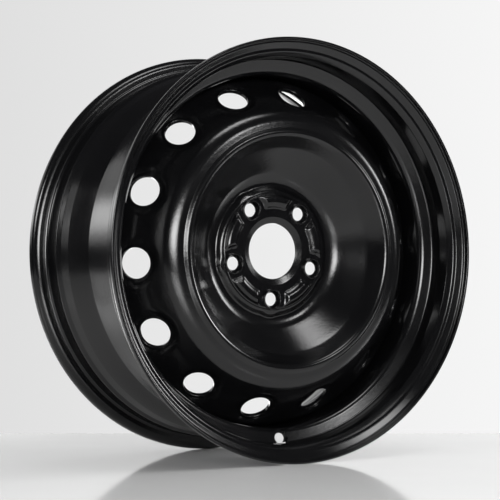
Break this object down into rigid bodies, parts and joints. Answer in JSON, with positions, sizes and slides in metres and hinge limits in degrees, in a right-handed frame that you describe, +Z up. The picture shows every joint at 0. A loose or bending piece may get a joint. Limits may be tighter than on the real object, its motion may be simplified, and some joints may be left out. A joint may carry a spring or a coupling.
{
  "type": "steel wheel rim",
  "caption": "Pressed steel road wheel for a car: a rolled drop-centre rim with a welded, vented disc that bolts to the axle's hub and carries a tyre.",
  "frame": {"origin": "centre of the wheel: on the axle line, midway between the two flanges", "axes": "+Y along the axle line towards the vehicle, so the street side faces -Y; +Z up; +X right seen from the street side"},
  "size_m": [0.4918, 0.2164, 0.4916],
  "materials": {
    "paint": "gloss black wheel paint",
    "painted_weld": "gloss black paint over rippled weld"
  },
  "bodies": {
    "root": {"rim": "paint", "disc": "paint", "weld_runs": "painted_weld"}
  },
  "joints": []
}
